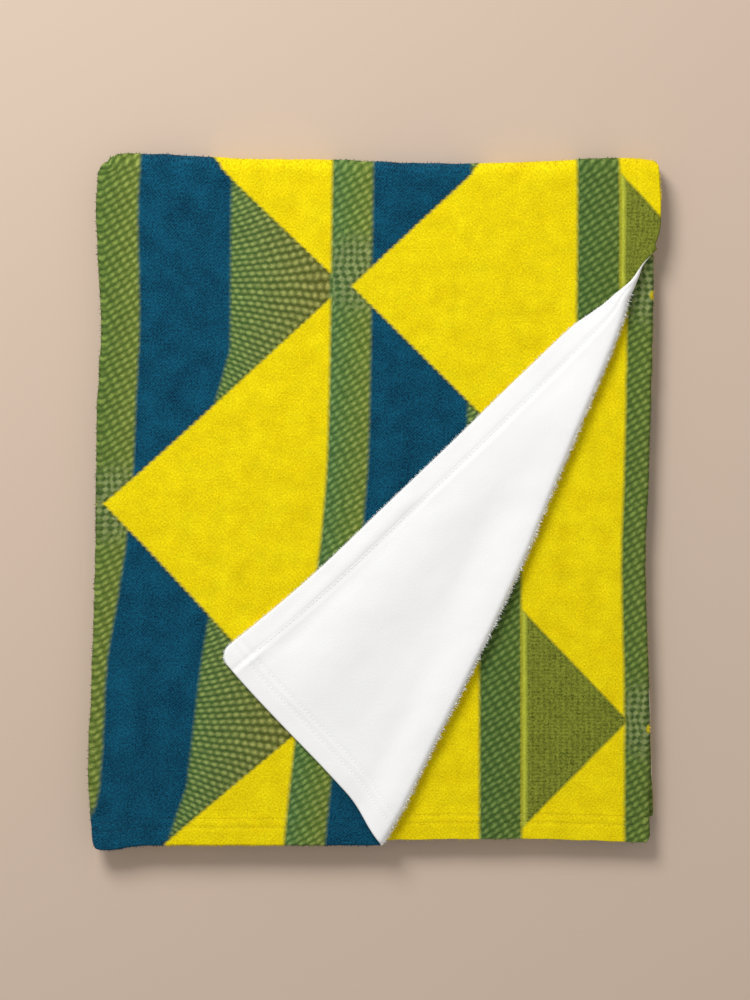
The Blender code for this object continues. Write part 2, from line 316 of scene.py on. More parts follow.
SPOT_RADIUS = 0.0048
INNER_PRINT = -0.700        # print places left of this are on the inner panel
UNDER_SHIFT = 0.0377        # the print of the inner panel lies this far aside
TURN_SHIFT = 0.0080         # at its far end the print gives way this far round the left turn
LOW_SHIFT = 0.0095          # near its hem the left edge takes the print this far out with it
LOW_FROM = 0.200            # height above the hem where that starts, and its reach
LOW_REACH = 0.150
LOW_END = 0.008             # height above the hem where it ends again, and its reach
LOW_END_REACH = 0.050
LOW_FROM_X = -0.180         # place across where it starts, and its reach
LOW_REACH_X = 0.060
LEAN = (
    # height above the near hem, how far the print of the top panel leans left
    (0.0007, 0.0450),
    (0.0367, 0.0415),
    (0.0977, 0.0348),
    (0.1637, 0.0280),
    (0.2237, 0.0190),
    (0.2597, 0.0140),
    (0.2827, 0.0110),
    (0.3667, 0.0046),
    (0.6357, 0.0000),
)

# Colours of the yarns across one repeat, from its start
YARNS = (
    # place across, dark yarn, light yarn
    (REPEAT_START, "33592E", "7A9A58"),
    (-0.0200, "3F5E24", "8AA052"),
    (BAND_B_END, "4C641C", "9CA452"),
    (TEAL_1_END, "2C5228", "8FA45A"),
    (0.1860, "454C12", "A8A55A"),
    (BAND_C_START, "2E5024", "76904A"),
    (BAND_C_END, "3A541C", "7E9248"),
    (BAND_D_START, "365224", "7C9444"),
    (BAND_D_END, "4C601E", "98A452"),
    (TEAL_2_END, "2C5228", "8FA45A"),
    (0.5385, "454C12", "A8A55A"),
    (0.5410, "33592E", "7A9A58"),
)

# How strongly each part of the print shows
LINE_WOBBLE = 0.5           # the hatching's lines waver by this share of their spacing
LINE_CONTRAST = 0.35        # light and dark of the lines, and of the dashes along each
DASH_CONTRAST = 0.34
DASH_MEAN = 0.80
ROW_SHIFT = 0.37            # each line's dashes start this share of a dash after the last line's
PATCH_CONTRAST = 1.8        # light and dark patches of the hatching
PATCH_MEAN = 0.15
CROSSING_EDGE = 1.35        # how far out a speckled place fades, and how well it covers
CROSSING_COVER = 0.60
DOT_CONTRAST = 1.1
DOT_MEAN = 0.10
DOT_PATCHES = 0.35
TEAL_TWILL = 0.16           # weave of the grounds
YELLOW_WAFFLE = 0.18
OLIVE_WEAVE = 0.10
OLIVE_CLOUD = 0.4
TEAL_GRAIN = 2.2            # fine grain of the grounds
YELLOW_GRAIN = 1.8
OLIVE_GRAIN = 2.0
OLIVE_RIM = 0.28            # cover of the dark line along the olive triangle's slanting sides
RIM_CONTRAST = 0.34         # the dark dots along the diamonds' edges
RIM_MEAN = 0.50
SPOT_EDGE = 1.5
PILE_SCALE = 420.0          # noise of the pile that carries the ink aside
SPECK_CONTRAST = 0.90       # specks of the pile, and wider patches where it is brushed over
SPECK_MEAN = 0.55
NAP_CONTRAST = 0.36
NAP_MEAN = 0.82
TWIST_CONTRAST = 0.5        # twist of the sewing thread
TWIST_MEAN = 1.05

# Stitches and tufts
STITCH_LENGTH = 0.0030
STITCH_SPACING = 0.0044
STITCH_WIDTH = 0.0006
FIRST_STITCH = 0.024        # from the side hem's edge to the near hem's first stitch
HEMS_APART = 0.003          # the side hem's stitches start this far past the near hem's last row
FLAP_CLEAR = 0.002          # no stitches this near to the roll, on the flap and on the panel
PANEL_CLEAR = 0.003
STITCH_SINK = 0.0001        # middle of a stitch above the bottom of its groove
TUFT_LENGTH = 0.0021
TUFT_SPACING = 0.0008
TUFT_RADIUS = 0.00038
ROLL_CROWD = 0.45           # the roll's tufts stand this much closer
ROLL_TUFT = 1.5             # tufts of the roll and of the other edges, against that length
EDGE_TUFT = 0.85
LONGEST_TUFT = 0.0050
TUFT_SHARES = (0.45, 1.0)   # lengths of the tufts, as shares of that length
TUFT_LEAN = 0.6             # how far they lean to any side, as a share of their reach
ROLL_PLACES = (0.35, 0.72)  # where tufts stand: shares of the way round the roll,
EDGE_PLACES = (-0.35, 0.35)     # shares of the thickness at a free edge,
TURN_PLACES = (0.15, 0.85)      # and shares of the way round the side and far folds
FAR_PLACES = (0.15, 0.75)
ROLL_END = 1.02             # share of the crease where the roll's tufts end
BARE_TIP = 0.020            # no tufts this near to the crease at its far tip
SEED = 7

# Camera, measured on the photograph: straight above the stack
CAMERA_HEIGHT = 2.40
VIEW_HEIGHT = 0.925         # what the picture's 1000 pixels cover at the cloth's height
SENSOR_HEIGHT = 24.0
CAMERA_X = 0.0005
CAMERA_Y = 0.0010
VIEW_PLANE_Z = 0.026

# Floor and lights: half the floor's side, the key light's width and place, the fill's colour
FLOOR_SIZE = 6.0
KEY_SIZE = 1.3
KEY_PLACE = Vector((-1.05, 1.95, 1.95))
FILL_COLOUR = (1.0, 0.995, 0.985, 1.0)

TINY = 0.00001


def linear(code):
    """A colour given as six hex digits, as linear values with full cover."""
    shares = [int(code[i:i + 2], 16) / 255 for i in (0, 2, 4)]
    return [s / 12.92 if s <= 0.04045 else ((s + 0.055) / 1.055) ** 2.4 for s in shares] + [1.0]


def ease(value):
    """A smooth step from 0 to 1."""
    share = np.clip(value, 0, 1)
    return share * share * (3 - 2 * share)


def bump(distance, width):
    """A soft ridge: 1 at its middle, almost nothing two widths away."""
    return np.exp(-((distance / width) ** 2))


def along(table, place, column=1):
    """Read a column of a table at places in its first column, on a smooth curve."""
    rows = np.array(table)
    places, values = rows[:, 0], rows[:, column]
    numbers = np.arange(len(places))
    before = np.maximum(numbers - 1, 0)
    after = np.minimum(numbers + 1, len(places) - 1)
    slopes = (values[after] - values[before]) / (places[after] - places[before])
    row = np.clip(np.searchsorted(places, place, side="right") - 1, 0, len(places) - 2)
    span = places[row + 1] - places[row]
    t = np.clip((place - places[row]) / span, 0, 1)
    start_part = values[row] * (1 + 2 * t) * (1 - t) ** 2
    end_part = values[row + 1] * t * t * (3 - 2 * t)
    slope_part = slopes[row] * t * (1 - t) ** 2 - slopes[row + 1] * t * t * (1 - t)
    return start_part + end_part + span * slope_part


def lumps(points, size):
    """Smooth noise, from -1 to 1, at places of the floor plan."""
    return np.array([noise.noise(Vector((x / size, y / size, size))) for x, y in points])


def new_items(result, kind, key="geom"):
    """The items of one kind that a bmesh operator returned."""
    return [item for item in result[key] if isinstance(item, kind)]


def steps_of(table):
    """The steps that a table of stretches asks for."""
    steps = []
    for start, end, step in table:
        count = max(round((end - start) / step), 1)
        steps += [(end - start) / count] * count
    return steps


def flat_sheet():
    """The sheet laid out flat, printed side up: a thin slab divided in columns and rows."""
    bm = bmesh.new()
    lower = bm.verts.new((TOP_HEM_X, NEAR_HEM_Y, -CLOTH / 2))
    upper = bm.verts.new((TOP_HEM_X, NEAR_HEM_Y, CLOTH / 2))
    edge = bm.edges.new((lower, upper))
    for step in steps_of(SHEET_COLUMNS):
        result = bmesh.ops.extrude_edge_only(bm, edges=[edge])
        bmesh.ops.translate(bm, verts=new_items(result, bmesh.types.BMVert), vec=(-step, 0, 0))
        edge = new_items(result, bmesh.types.BMEdge)[0]
    faces = list(bm.faces)
    for step in steps_of(SHEET_ROWS):
        edges = list({edge for face in faces for edge in face.edges})
        result = bmesh.ops.extrude_face_region(bm, geom=faces + edges)
        bmesh.ops.translate(bm, verts=new_items(result, bmesh.types.BMVert), vec=(0, step, 0))
        faces = new_items(result, bmesh.types.BMFace)
    return bm


def hem_relief(across, down, reverse):
    """How far the surface rises over the plain cloth, from the hems and their stitches."""
    side = np.minimum(across, SHEET_LENGTH - across)
    end = np.minimum(down, SHEET_WIDTH - down)
    height = np.maximum(1 - ease((side - SIDE_HEM_ROWS[0]) / HEM_FALL),
                        1 - ease((end - HEM_WIDTH) / HEM_FALL)) * HEM_RISE
    groove = np.where(reverse, REVERSE_GROOVE_WIDTH, GROOVE_WIDTH)
    for distance, rows in ((side, SIDE_HEM_ROWS), (end, NEAR_HEM_ROWS)):
        for row in rows:
            height -= GROOVE_DEPTH * bump(distance - row, groove)
        ridge = bump(distance - rows[-1] - 2 * groove, SEAM_RIDGE_WIDTH)
        height += SEAM_RIDGE * ridge * np.where(reverse, REVERSE_RIDGE, FACE_RIDGE)
    return height


def shape_hems(points):
    """Round the flat sheet's edge, give it its hems, and round its one corner that shows."""
    across = TOP_HEM_X - points[:, 0]
    down = points[:, 1] - NEAR_HEM_Y
    reverse = points[:, 2] < 0
    from_edge = np.minimum.reduce([across, SHEET_LENGTH - across, down, SHEET_WIDTH - down])
    past = 1 - np.clip(from_edge / EDGE_ROUND, 0, 1)
    full = np.maximum(np.sqrt(1 - past * past), EDGE_LEFT)
    height = (CLOTH / 2 + hem_relief(across, down, reverse)) * full
    x, y = rounded(points[:, 0], points[:, 1], *FLAP_CORNER)
    return np.column_stack((x, y, np.where(reverse, -height, height)))


def rounded(x, y, x_side, y_side, radius, edge_x, edge_y):
    """Draw points in a square corner into a round one."""
    dx = (x - edge_x) * x_side + radius
    dy = (y - edge_y) * y_side + radius
    inside = (dx > 0) & (dy > 0)
    shrink = np.where(inside, np.maximum(dx, dy) / np.maximum(np.hypot(dx, dy), TINY), 1.0)
    return x - x_side * dx * (1 - shrink), y - y_side * dy * (1 - shrink)


def crease_frame():
    """The crease's direction, the direction across it towards the corner, and its length."""
    run = CREASE_END - CREASE_START
    length = math.hypot(*run)
    direction = run / length
    return direction, np.array((direction[1], -direction[0])), length


def beyond_crease(flat):
    """Share of the way along the crease, and distance past it towards the corner."""
    direction, across, length = crease_frame()
    offset = flat[:, :2] - CREASE_START
    share = offset @ direction / length
    start = along(CREASE, share) - ROLL_RADIUS - CLOTH / 2
    return share, start, offset @ across - start


def on_top_panel(flat):
    """Which points of the flat sheet lie on the near half's top panel."""
    return (flat[:, 0] > LEFT_TURN_X - TINY) & (flat[:, 1] < HALF_FOLD_Y + TINY)


def get_points(bm):
    """The places of a mesh's corners, as rows of numbers."""
    return np.array([vert.co[:] for vert in bm.verts])


def set_points(bm, points):
    """Move a mesh's corners to the given places."""
    for vert, point in zip(bm.verts, points):
        vert.co = point
    bm.normal_update()


def cut_along_roll(bm):
    """Divide the flat sheet finely where the corner rolls over."""
    direction, across, length = crease_frame()
    flat = get_points(bm)
    _share, start, beyond = beyond_crease(flat)
    shift = np.outer(start, across)
    roll = math.pi * ROLL_RADIUS
    near = on_top_panel(flat) & (beyond > -ROLL_REACH) & (beyond < roll + ROLL_REACH)
    straight = flat.copy()
    straight[:, :2] -= shift
    set_points(bm, straight)
    chosen = {vert for vert, is_near in zip(bm.verts, near) if is_near}
    faces = [face for face in bm.faces if chosen.issuperset(face.verts)]
    for step in range(ROLL_STEPS + 1):
        place = CREASE_START + across * roll * step / ROLL_STEPS
        edges = {edge for face in faces for edge in face.edges}
        result = bmesh.ops.bisect_plane(
            bm,
            geom=list(chosen) + list(edges) + faces,
            dist=CUT_SNAP,
            plane_co=(*place, 0),
            plane_no=(*across, 0),
        )
        chosen.update(new_items(result, bmesh.types.BMVert, "geom_cut"))
        faces = [face for face in bm.faces if chosen.issuperset(face.verts)]
    bmesh.ops.triangulate(bm, faces=faces, quad_method="BEAUTY", ngon_method="BEAUTY")
    straight = get_points(bm)
    offset = straight[:, :2] - CREASE_START
    start = along(CREASE, offset @ direction / length) - ROLL_RADIUS - CLOTH / 2
    straight[:, :2] += np.outer(start, across)
    set_points(bm, straight)


def fold_in_three(flat):
    """The letter fold: place across the strip and height above the plane between the halves."""
    x, _y, normal = flat.T
    run = TOP_HEM_X - x
    left = (run - LEFT_TURN_START) / LEFT_TURN_RADIUS
    right = (run - RIGHT_TURN_START) / RIGHT_TURN_RADIUS
    stretches = [left < 0, left < math.pi, right < 0, right < math.pi]
    left_out = LEFT_TURN_RADIUS + normal
    right_out = RIGHT_TURN_RADIUS + normal
    left_middle = (TOP_Z + BASE_Z) / 2
    right_middle = (INNER_Z + BASE_Z) / 2
    places = [
        x,
        LEFT_TURN_X - left_out * np.sin(left),
        LEFT_TURN_X + run - BASE_START,
        RIGHT_TURN_X + right_out * np.sin(right),
    ]
    heights = [
        TOP_Z + normal,
        left_middle + left_out * np.cos(left),
        BASE_Z - normal,
        right_middle - right_out * np.cos(right),
    ]
    inner_place = RIGHT_TURN_X - (run - INNER_START)
    return np.select(stretches, places, inner_place), np.select(stretches, heights, INNER_Z + normal)


def fold_in_half(x, y, height):
    """Turn the far half under the near one."""
    angle = np.clip((y - HALF_FOLD_Y) / INNER_Z, 0, math.pi)
    far_run = np.maximum(y - HALF_FOLD_Y - math.pi * INNER_Z, 0)
    folded_y = np.minimum(y, HALF_FOLD_Y) + height * np.sin(angle) - far_run
    return np.column_stack((x, folded_y, height * np.cos(angle)))


def flap_relief(place):
    """Height of the flap's own ridges and troughs at places of the floor plan."""
    height = np.zeros(len(place))
    for start_x, start_y, end_x, end_y, half_width, rise in FLAP_FOLDS:
        start = np.array((start_x, start_y))
        run = np.array((end_x, end_y)) - start
        share = np.clip((place - start) @ run / (run @ run), 0, 1)
        distance = np.linalg.norm(place - start - np.outer(share, run), axis=1)
        height += rise * bump(distance, half_width)
    return np.maximum(height, 0.0)


def roll_back(flat, points):
    """Roll the top panel's near right corner over the crease and lay it on the stack."""
    direction, across, length = crease_frame()
    share, start, beyond = beyond_crease(flat)
    normal = flat[:, 2]
    roll = math.pi * ROLL_RADIUS
    angle = np.clip(beyond / ROLL_RADIUS, 0, math.pi)
    past = np.maximum(beyond - roll, 0)
    settled = ease(past / SETTLE_LENGTH)
    thin = ease((share - THIN_FROM) / (THIN_TO - THIN_FROM))
    rise = ROLL_RADIUS * (1 - LOWERED * thin)
    pull = along(CREASE, share, 2) * ease(past / PULL_LENGTH)
    outer = start + ROLL_RADIUS + CLOTH / 2
    inward = ROLL_RADIUS + CLOTH / 2 - (ROLL_RADIUS - normal) * np.sin(angle)
    inward = inward * (1 - THINNED * thin) + past * (1 - along(CREASE, share, 3))
    place = outer - inward + pull
    slide = SHEAR * ease((past - SHEAR_START) / (SHEAR_END - SHEAR_START))
    round_height = rise - (rise - normal) * np.cos(angle)
    laid_height = 2 * rise * (1 - settled) + PITCH * settled - normal
    height = np.where(beyond < roll, round_height, laid_height)
    plan = CREASE_START + np.outer(share * length - slide, direction) + np.outer(place, across)
    height = height + flap_relief(plan) * settled
    rolled = np.column_stack((plan, TOP_Z + height))
    turned = on_top_panel(flat) & (beyond > 0)
    return np.where(turned[:, None], rolled, points)


def edge_weight(place, edge):
    """How strongly a place follows an edge: 0 at the middle of the stack, 1 at the edge."""
    return np.clip(place / edge, 0, 1) ** 3


def wander(points):
    """Give the straight stack its uneven sides and round corners."""
    x, y, z = points.T
    height = np.hypot(np.maximum(y - HALF_FOLD_Y, 0), z)
    on_top_layer = height > (INNER_Z + TOP_Z) / 2
    side_x = np.where(on_top_layer, TOP_HEM_X, RIGHT_SIDE_X)
    to_hem = edge_weight(y, NEAR_HEM_Y)
    to_fold = edge_weight(y, FAR_SIDE_Y)
    to_right = edge_weight(x, RIGHT_SIDE_X)
    to_left = edge_weight(x, LEFT_SIDE_X)
    above = z > 0
    dx = along(RIGHT_EDGE, y) * to_right - along(LEFT_EDGE, y) * to_left
    dy = along(FOLDED_EDGE, x) * to_fold
    hem_back = along(HEMS_BACK, height) - along(HEM_EDGE, x)
    dy = dy + np.where(above, hem_back, UNDER_HEM_BACK) * to_hem
    tuck = UNDER_HEM_IN * to_right * ease((HALF_FOLD_Y - y) / TUCK_LENGTH)
    dx = dx + np.where(above, 0.0, UNDER_SIDE_OUT * to_right * to_hem)
    dx = dx - np.where(~above & on_top_layer, tuck, 0.0)
    to_tip = ease((x - TIP_FROM_X) / (TOP_HEM_X - TIP_FROM_X))
    tip_pull = TIP_PULL * bump(y - TIP_Y, TIP_LENGTH) * to_tip
    dx = dx - np.where(above & on_top_layer, tip_pull, 0.0)
    side_plan = np.column_stack((z * LUMP_STRETCH, y))
    end_plan = np.column_stack((x, z * LUMP_STRETCH))
    dx = dx + EDGE_LUMP * lumps(side_plan, EDGE_LUMP_SIZE) * (to_right - to_left)
    dy = dy + EDGE_LUMP * lumps(end_plan, EDGE_LUMP_SIZE) * (to_fold - to_hem)
    for x_side, y_side, radius in CORNERS:
        edge_x = side_x if x_side > 0 else LEFT_SIDE_X
        edge_y = FAR_SIDE_Y if y_side > 0 else NEAR_HEM_Y
        x, y = rounded(x, y, x_side, y_side, radius, edge_x, edge_y)
    return np.column_stack((x + dx, y + dy, z))


def swell(points):
    """Lift the upper layers in soft swells and small lumps; the underside stays flat."""
    plan = points[:, :2]
    lift = np.zeros(len(points))
    for centre_x, centre_y, half_width, rise in SWELLS:
        distance = np.hypot(plan[:, 0] - centre_x, plan[:, 1] - centre_y)
        lift += rise * bump(distance, half_width)
    for size, rise in LUMPS:
        lift += rise * lumps(plan, size)
    lifted = points.copy()
    lifted[:, 2] += lift * np.clip(points[:, 2] / HALF_HEIGHT, 0, 1)
    return lifted


def fold_cloth(flat):
    """Where points of the flat sheet lie in the folded stack, before it is centred."""
    across, height = fold_in_three(flat)
    points = fold_in_half(across, flat[:, 1], height)
    points = roll_back(flat, points)
    return swell(wander(points))


def choose_sides(bm, flat):
    """Print the face and the edges, and leave the reverse white, with the turned flap's edge."""
    _share, _start, beyond = beyond_crease(flat)
    turned = on_top_panel(flat) & (beyond > math.pi * ROLL_RADIUS)
    for face in bm.faces:
        numbers = [vert.index for vert in face.verts]
        below = flat[numbers, 2] < 0
        white = below.all() or (below.any() and turned[numbers].all())
        face.material_index = int(white)


def centre_of(points):
    """What is taken from every point to stand the stack at the origin."""
    lows, highs = points.min(axis=0), points.max(axis=0)
    return np.array(((lows[0] + highs[0]) / 2, (lows[1] + highs[1]) / 2, lows[2]))


def print_places(flat):
    """Places of the flat sheet on the print: across the repeat, and above the near hem."""
    run = TOP_HEM_X - flat[:, 0]
    down = flat[:, 1] - NEAR_HEM_Y
    under = ease((run - BASE_START) / (RIGHT_TURN_START - BASE_START))
    lean = along(LEAN, down)
    turned = ease((run - LEFT_TURN_START) / (BASE_START - LEFT_TURN_START) * 2)
    lean += TURN_SHIFT * turned * (1 - lean / LEAN[0][1])
    low = ease((LOW_FROM - down) / LOW_REACH) * ease((LOW_FROM_X - flat[:, 0]) / LOW_REACH_X)
    low = low * ease((down - LOW_END) / LOW_END_REACH)
    aside = (lean - LOW_SHIFT * low) * (1 - under) - UNDER_SHIFT * under
    return np.column_stack((flat[:, 0] + aside, down))


def feed(tree, sockets, inputs):
    """Link each given input of a node to another node's output, or set its number."""
    for key, value in inputs:
        if isinstance(value, bpy.types.NodeSocket):
            tree.links.new(value, sockets[key])
        else:
            sockets[key].default_value = value


def add_node(tree, kind, inputs=(), output=0, **settings):
    """Add a node, set it up and link it; returns one of its outputs."""
    node = tree.nodes.new("ShaderNode" + kind)
    for setting, value in settings.items():
        setattr(node, setting, value)
    feed(tree, node.inputs, inputs.items() if isinstance(inputs, dict) else enumerate(inputs))
    return node.outputs[output]


SOFT = 1 / PRINT_BLUR
TURN = 2 * math.pi
PRINT_LOW = PRINT_MIDDLE - REPEAT_DOWN / 2


def soft_step(place):
    """What turns a distance into a soft step from 0 to 1 at a place: its slope and its start."""
    return SOFT, 0.5 - place * SOFT


def widths(width, middle):
    """What measures a distance from a middle in widths: its slope and its start."""
    return 1 / width, -middle / width


# Lines across the repeat: each is 0 before its place and 1 past it
PRINT_LINES = (
    # name, place
    ("past band B", BAND_B_END),
    ("past teal 1", TEAL_1_END),
    ("past hatch 1", BAND_C_START),
    ("past band C", BAND_C_END),
    ("past pale line", OLIVE_START),
    ("past olive", BAND_D_START),
    ("past band D", BAND_D_END),
    ("past hatch 2", BAND_B_START),
    ("second half", (BAND_C_END + BAND_D_START) / 2),
)

# Noises of the cloth and the ink
PRINT_NOISES = (
    # name, scale, detail
    ("cloud", 42.0, 4.0),
    ("wobble", 38.0, 1.0),
    ("patches", 210.0, 2.0),
    ("fibre", 560.0, 2.0),
)

# Where the print's lines, dots and shapes lie. Each starts from a name or number and goes through
# its steps; a held step keeps to 0 to 1, and a SINE is given with the length of its wave
PRINT_SUMS = (
    # name, start, steps
    ("height", "y", ("ABSOLUTE",)),
    ("step height", "y", ("ADD", EDGE_STEP / 2), ("SNAP", EDGE_STEP), ("ABSOLUTE",)),
    ("soft height", "height", ("MULTIPLY", 1 - STEP_SHARE)),
    ("stepped", "step height", ("MULTIPLY_ADD", STEP_SHARE, "soft height")),
    ("on inner panel", "across", ("LESS_THAN", INNER_PRINT)),
    ("toe", "y", ("MULTIPLY_ADD", -TOE_SLOPE, -TOE_SLOPE * TOE_START), ("MAXIMUM", 0.0)),
    ("past teal 2", "toe", ("ADD", "x"), ("held MULTIPLY_ADD", *soft_step(TEAL_2_END))),
    # Lines of the bands rise to the right; those of the triangles fan out from their tips
    ("band phase", "x", ("MULTIPLY_ADD", -HATCH_SLOPE, "y"), ("DIVIDE", HATCH_SPACING)),
    ("tip", "second half", ("MULTIPLY_ADD", ZIGZAG_1_TIP - BAND_C_START, BAND_C_START)),
    ("spread", "tip", ("SUBTRACT", "x"),
     ("MULTIPLY_ADD", FAN_SPREAD / FAN_SPACING, 1 / FAN_SPACING)),
    ("other row", "height", ("SUBTRACT", REPEAT_DOWN / 2)),
    ("fan height", "y", ("SUBTRACT", "other row"), ("MULTIPLY_ADD", "second half", "other row")),
    ("in hatch 1", "past teal 1", ("SUBTRACT", "past hatch 1")),
    ("in hatch", "past teal 2", ("SUBTRACT", "past hatch 2"), ("held ADD", "in hatch 1")),
    ("fanned", "in hatch", ("GREATER_THAN", 0.001)),
    ("even phase", "fan height", ("MULTIPLY", "spread"), ("SUBTRACT", "band phase"),
     ("MULTIPLY_ADD", "fanned", "band phase")),
    ("phase", "wobble", ("MULTIPLY_ADD", LINE_WOBBLE, "even phase")),
    ("line", "phase", ("SINE", 1.0), ("MULTIPLY_ADD", LINE_CONTRAST, 0.5)),
    ("row shift", "phase", ("ADD", 0.25), ("FLOOR",), ("MULTIPLY", ROW_SHIFT)),
    ("dash", "x", ("MULTIPLY_ADD", 1 / DASH_LENGTH, "row shift"), ("SINE", 1.0),
     ("MULTIPLY_ADD", DASH_CONTRAST, DASH_MEAN)),
    ("patch", "patches", ("MULTIPLY_ADD", PATCH_CONTRAST, PATCH_MEAN)),
    ("yarn shade", "line", ("MULTIPLY", "dash"), ("held MULTIPLY", "patch")),
    ("share across", "x", ("MULTIPLY_ADD", *widths(REPEAT_ACROSS, REPEAT_START))),
    # Where bands and diamonds meet, the lines break up into rows of pale dots
    ("row middle", "on inner panel", ("MULTIPLY_ADD", -REPEAT_DOWN / 2, REPEAT_DOWN / 2)),
    ("aside 1", "x", ("MULTIPLY_ADD", *widths(CROSSING_WIDTH, CROSSING_1))),
    ("above 1", "y", ("MULTIPLY_ADD", *widths(CROSSING_HEIGHT, CROSSING_UP))),
    ("aside 2", "x", ("MULTIPLY_ADD", *widths(CROSSING_WIDTH, CROSSING_2))),
    ("above 2", "height", ("SUBTRACT", "row middle"), ("DIVIDE", CROSSING_HEIGHT)),
    ("aside 1 squared", "aside 1", ("MULTIPLY", "aside 1")),
    ("aside 2 squared", "aside 2", ("MULTIPLY", "aside 2")),
    ("far 1", "above 1", ("MULTIPLY_ADD", "above 1", "aside 1 squared")),
    ("far", "above 2", ("MULTIPLY_ADD", "above 2", "aside 2 squared"), ("MINIMUM", "far 1")),
    ("in crossing", CROSSING_EDGE, ("held SUBTRACT", "far"), ("MULTIPLY", CROSSING_COVER)),
    ("dot place", "wobble", ("MULTIPLY_ADD", DOT_SPACING, "x")),
    ("dot wave", "dot place", ("SUBTRACT", "y"), ("SINE", DOT_SPACING)),
    ("dots", "dot place", ("ADD", "y"), ("SINE", DOT_SPACING), ("MULTIPLY", "dot wave"),
     ("MULTIPLY_ADD", DOT_CONTRAST, DOT_MEAN)),
    ("dot shade", "patch", ("held MULTIPLY_ADD", DOT_PATCHES, "dots")),
    # Grounds: twill of the teal, waffle of the yellow, plain weave of the olive
    ("teal cloud", "fibre", ("MULTIPLY_ADD", TEAL_GRAIN, -TEAL_GRAIN / 2), ("ADD", "cloud")),
    ("teal shade", "y", ("SUBTRACT", "x"), ("SINE", TWILL),
     ("held MULTIPLY_ADD", TEAL_TWILL, "teal cloud")),
    ("waffle y", "y", ("SINE", WAFFLE)),
    ("yellow cloth", "fibre", ("MULTIPLY_ADD", YELLOW_GRAIN, -YELLOW_GRAIN / 2), ("ADD", "cloud")),
    ("yellow shade", "x", ("SINE", WAFFLE), ("MULTIPLY", "waffle y"),
     ("held MULTIPLY_ADD", YELLOW_WAFFLE, "yellow cloth")),
    ("weft", "y", ("SINE", OLIVE_WEFT)),
    ("weave", "x", ("SINE", OLIVE_WARP), ("ADD", "weft"), ("MULTIPLY_ADD", OLIVE_WEAVE, "patches")),
    ("olive cloth", "fibre", ("MULTIPLY_ADD", OLIVE_GRAIN, -OLIVE_GRAIN / 2), ("ADD", "weave")),
    ("olive shade", "cloud", ("held MULTIPLY_ADD", OLIVE_CLOUD, "olive cloth")),
    # Columns and the olive triangle
    ("out of band B", "past band B", ("SUBTRACT", "past hatch 2")),
    ("in band C", "past hatch 1", ("SUBTRACT", "past band C")),
    ("in band D", "past olive", ("SUBTRACT", "past band D")),
    ("in band", 1.0, ("SUBTRACT", "out of band B"), ("ADD", "in band C"), ("held ADD", "in band D")),
    ("in yellow column", "past band C", ("held SUBTRACT", "past olive")),
    ("not teal", "in band", ("ADD", "in hatch"), ("ADD", "in yellow column")),
    ("teal ground", 1.0, ("held SUBTRACT", "not teal")),
    ("inside slant", "height",
     ("MULTIPLY_ADD", -OLIVE_WIDTH / OLIVE_HALF, OLIVE_START + OLIVE_WIDTH), ("SUBTRACT", "x")),
    ("under slant", "inside slant", ("held MULTIPLY_ADD", *soft_step(0.0))),
    ("well under slant", "inside slant", ("held MULTIPLY_ADD", *soft_step(RIM))),
    ("in olive", "under slant", ("MULTIPLY", "past band C")),
    ("olive rim", "under slant", ("SUBTRACT", "well under slant"), ("MULTIPLY", "past band C"),
     ("MULTIPLY", OLIVE_RIM)),
    ("olive line", "past band C", ("held SUBTRACT", "past pale line"), ("MULTIPLY", "in olive")),
    # Diamonds and the dots along their edges
    ("zone 1", "past band D", ("SUBTRACT", "past olive"),
     ("MULTIPLY_ADD", "on inner panel", "past olive"), ("SUBTRACT", "past hatch 2")),
    ("zone 2", 1.0, ("SUBTRACT", "past hatch 1")),
    ("from edge 1", "stepped", ("MULTIPLY_ADD", ZIGZAG_1_SLOPE, "x")),
    ("from edge 2", "stepped", ("MULTIPLY_ADD", -ZIGZAG_2_SLOPE, "x")),
    ("past edge 1", "from edge 1", ("held MULTIPLY_ADD", *soft_step(ZIGZAG_1_TIP))),
    ("past edge 2", "from edge 2", ("held MULTIPLY_ADD", *soft_step(ZIGZAG_2_TIP))),
    ("diamond 1", "past edge 1", ("MULTIPLY", "zone 1")),
    ("in diamond", "past edge 2", ("MULTIPLY", "zone 2"), ("held MAXIMUM", "diamond 1")),
    ("rim 1", "from edge 1", ("held MULTIPLY_ADD", *soft_step(ZIGZAG_1_TIP - RIM)),
     ("SUBTRACT", "past edge 1"), ("MULTIPLY", "zone 1")),
    ("rim", "from edge 2", ("held MULTIPLY_ADD", *soft_step(ZIGZAG_2_TIP - RIM)),
     ("SUBTRACT", "past edge 2"), ("MULTIPLY", "zone 2"), ("held MAXIMUM", "rim 1")),
    ("rim dots", "y", ("SINE", EDGE_STEP), ("MULTIPLY_ADD", RIM_CONTRAST, RIM_MEAN)),
    ("dark rim", "rim", ("held MULTIPLY", "rim dots")),
    ("spot aside", "x", ("MULTIPLY_ADD", *widths(SPOT_RADIUS, SPOT_X))),
    ("spot above", "y", ("MULTIPLY_ADD", *widths(SPOT_RADIUS, SPOT_Y))),
    ("spot squared", "spot aside", ("MULTIPLY", "spot aside")),
    ("spot far", "spot above", ("MULTIPLY_ADD", "spot above", "spot squared")),
    ("in spot", SPOT_EDGE, ("held SUBTRACT", "spot far"), ("MULTIPLY", "on inner panel")),
)

# Colours of the inks, each from its darker to its lighter shade
PRINT_INKS = (
    # name, shade, darker, lighter
    ("teal", "teal shade", "032A40", "0F5A76"),
    ("yellow", "yellow shade", "E4C600", "F6E40C"),
    ("olive", "olive shade", "3A460A", "878F32"),
    ("speckled", "dot shade", "38502A", "98A26C"),
)
DARK_INK = "2E2C12"
PALE_INK = "BEC440"

